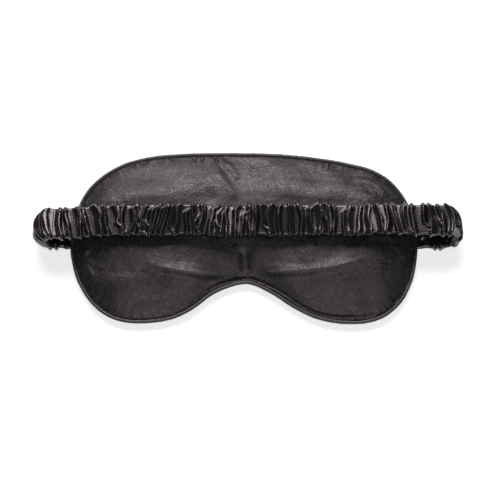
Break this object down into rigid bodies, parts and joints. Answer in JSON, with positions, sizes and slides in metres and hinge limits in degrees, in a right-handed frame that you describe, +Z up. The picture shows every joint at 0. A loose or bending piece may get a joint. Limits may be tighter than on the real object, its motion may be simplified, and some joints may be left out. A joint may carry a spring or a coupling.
{
  "type": "sleep eye mask",
  "caption": "Padded satin sleep mask with a corded edge, a nose notch and a gathered elastic head strap that pulls away from the pad.",
  "frame": {"origin": "on the surface the mask lies on, under the middle of the mask", "axes": "+X along the strap towards the longer fold, +Y towards the brow edge, +Z up through the face side and the strap"},
  "size_m": [0.256, 0.1101, 0.0213],
  "materials": {
    "satin": "black satin weave with a soft sheen",
    "satin_piping": "black satin cut on the bias",
    "satin_strap": "black satin gathered across the strap",
    "wadding_fibre": "loose white polyester fibre",
    "blackout_cloth": "dense matt black cloth",
    "piping_cotton": "twisted undyed cotton cord",
    "sewing_thread": "twisted black polyester thread",
    "elastic_webbing": "black ribbed woven elastic"
  },
  "bodies": {
    "mask": {"back_panel": "satin", "front_panel": "satin", "wadding": "wadding_fibre", "blackout_lining": "blackout_cloth", "piping_cover": "satin_piping", "piping_cord": "piping_cotton", "needle_thread": "sewing_thread", "bobbin_thread": "sewing_thread", "closing_stitches": "sewing_thread", "left_strap_tack": "sewing_thread", "right_strap_tack": "sewing_thread", "strap_cover_left": "satin_strap", "strap_cover_right": "satin_strap", "elastic_left": "elastic_webbing", "elastic_right": "elastic_webbing"},
    "strap": {"strap_cover_span": "satin_strap", "elastic_span": "elastic_webbing"}
  },
  "joints": [
    {"name": "strap_pull", "type": "slide", "parent": "mask", "child": "strap", "axis": [0, 0, 1], "range_m": [0, 0.1], "stiffness_N_per_m": 60, "deforming": ["strap_cover_left", "strap_cover_right", "elastic_left", "elastic_right"]}
  ]
}
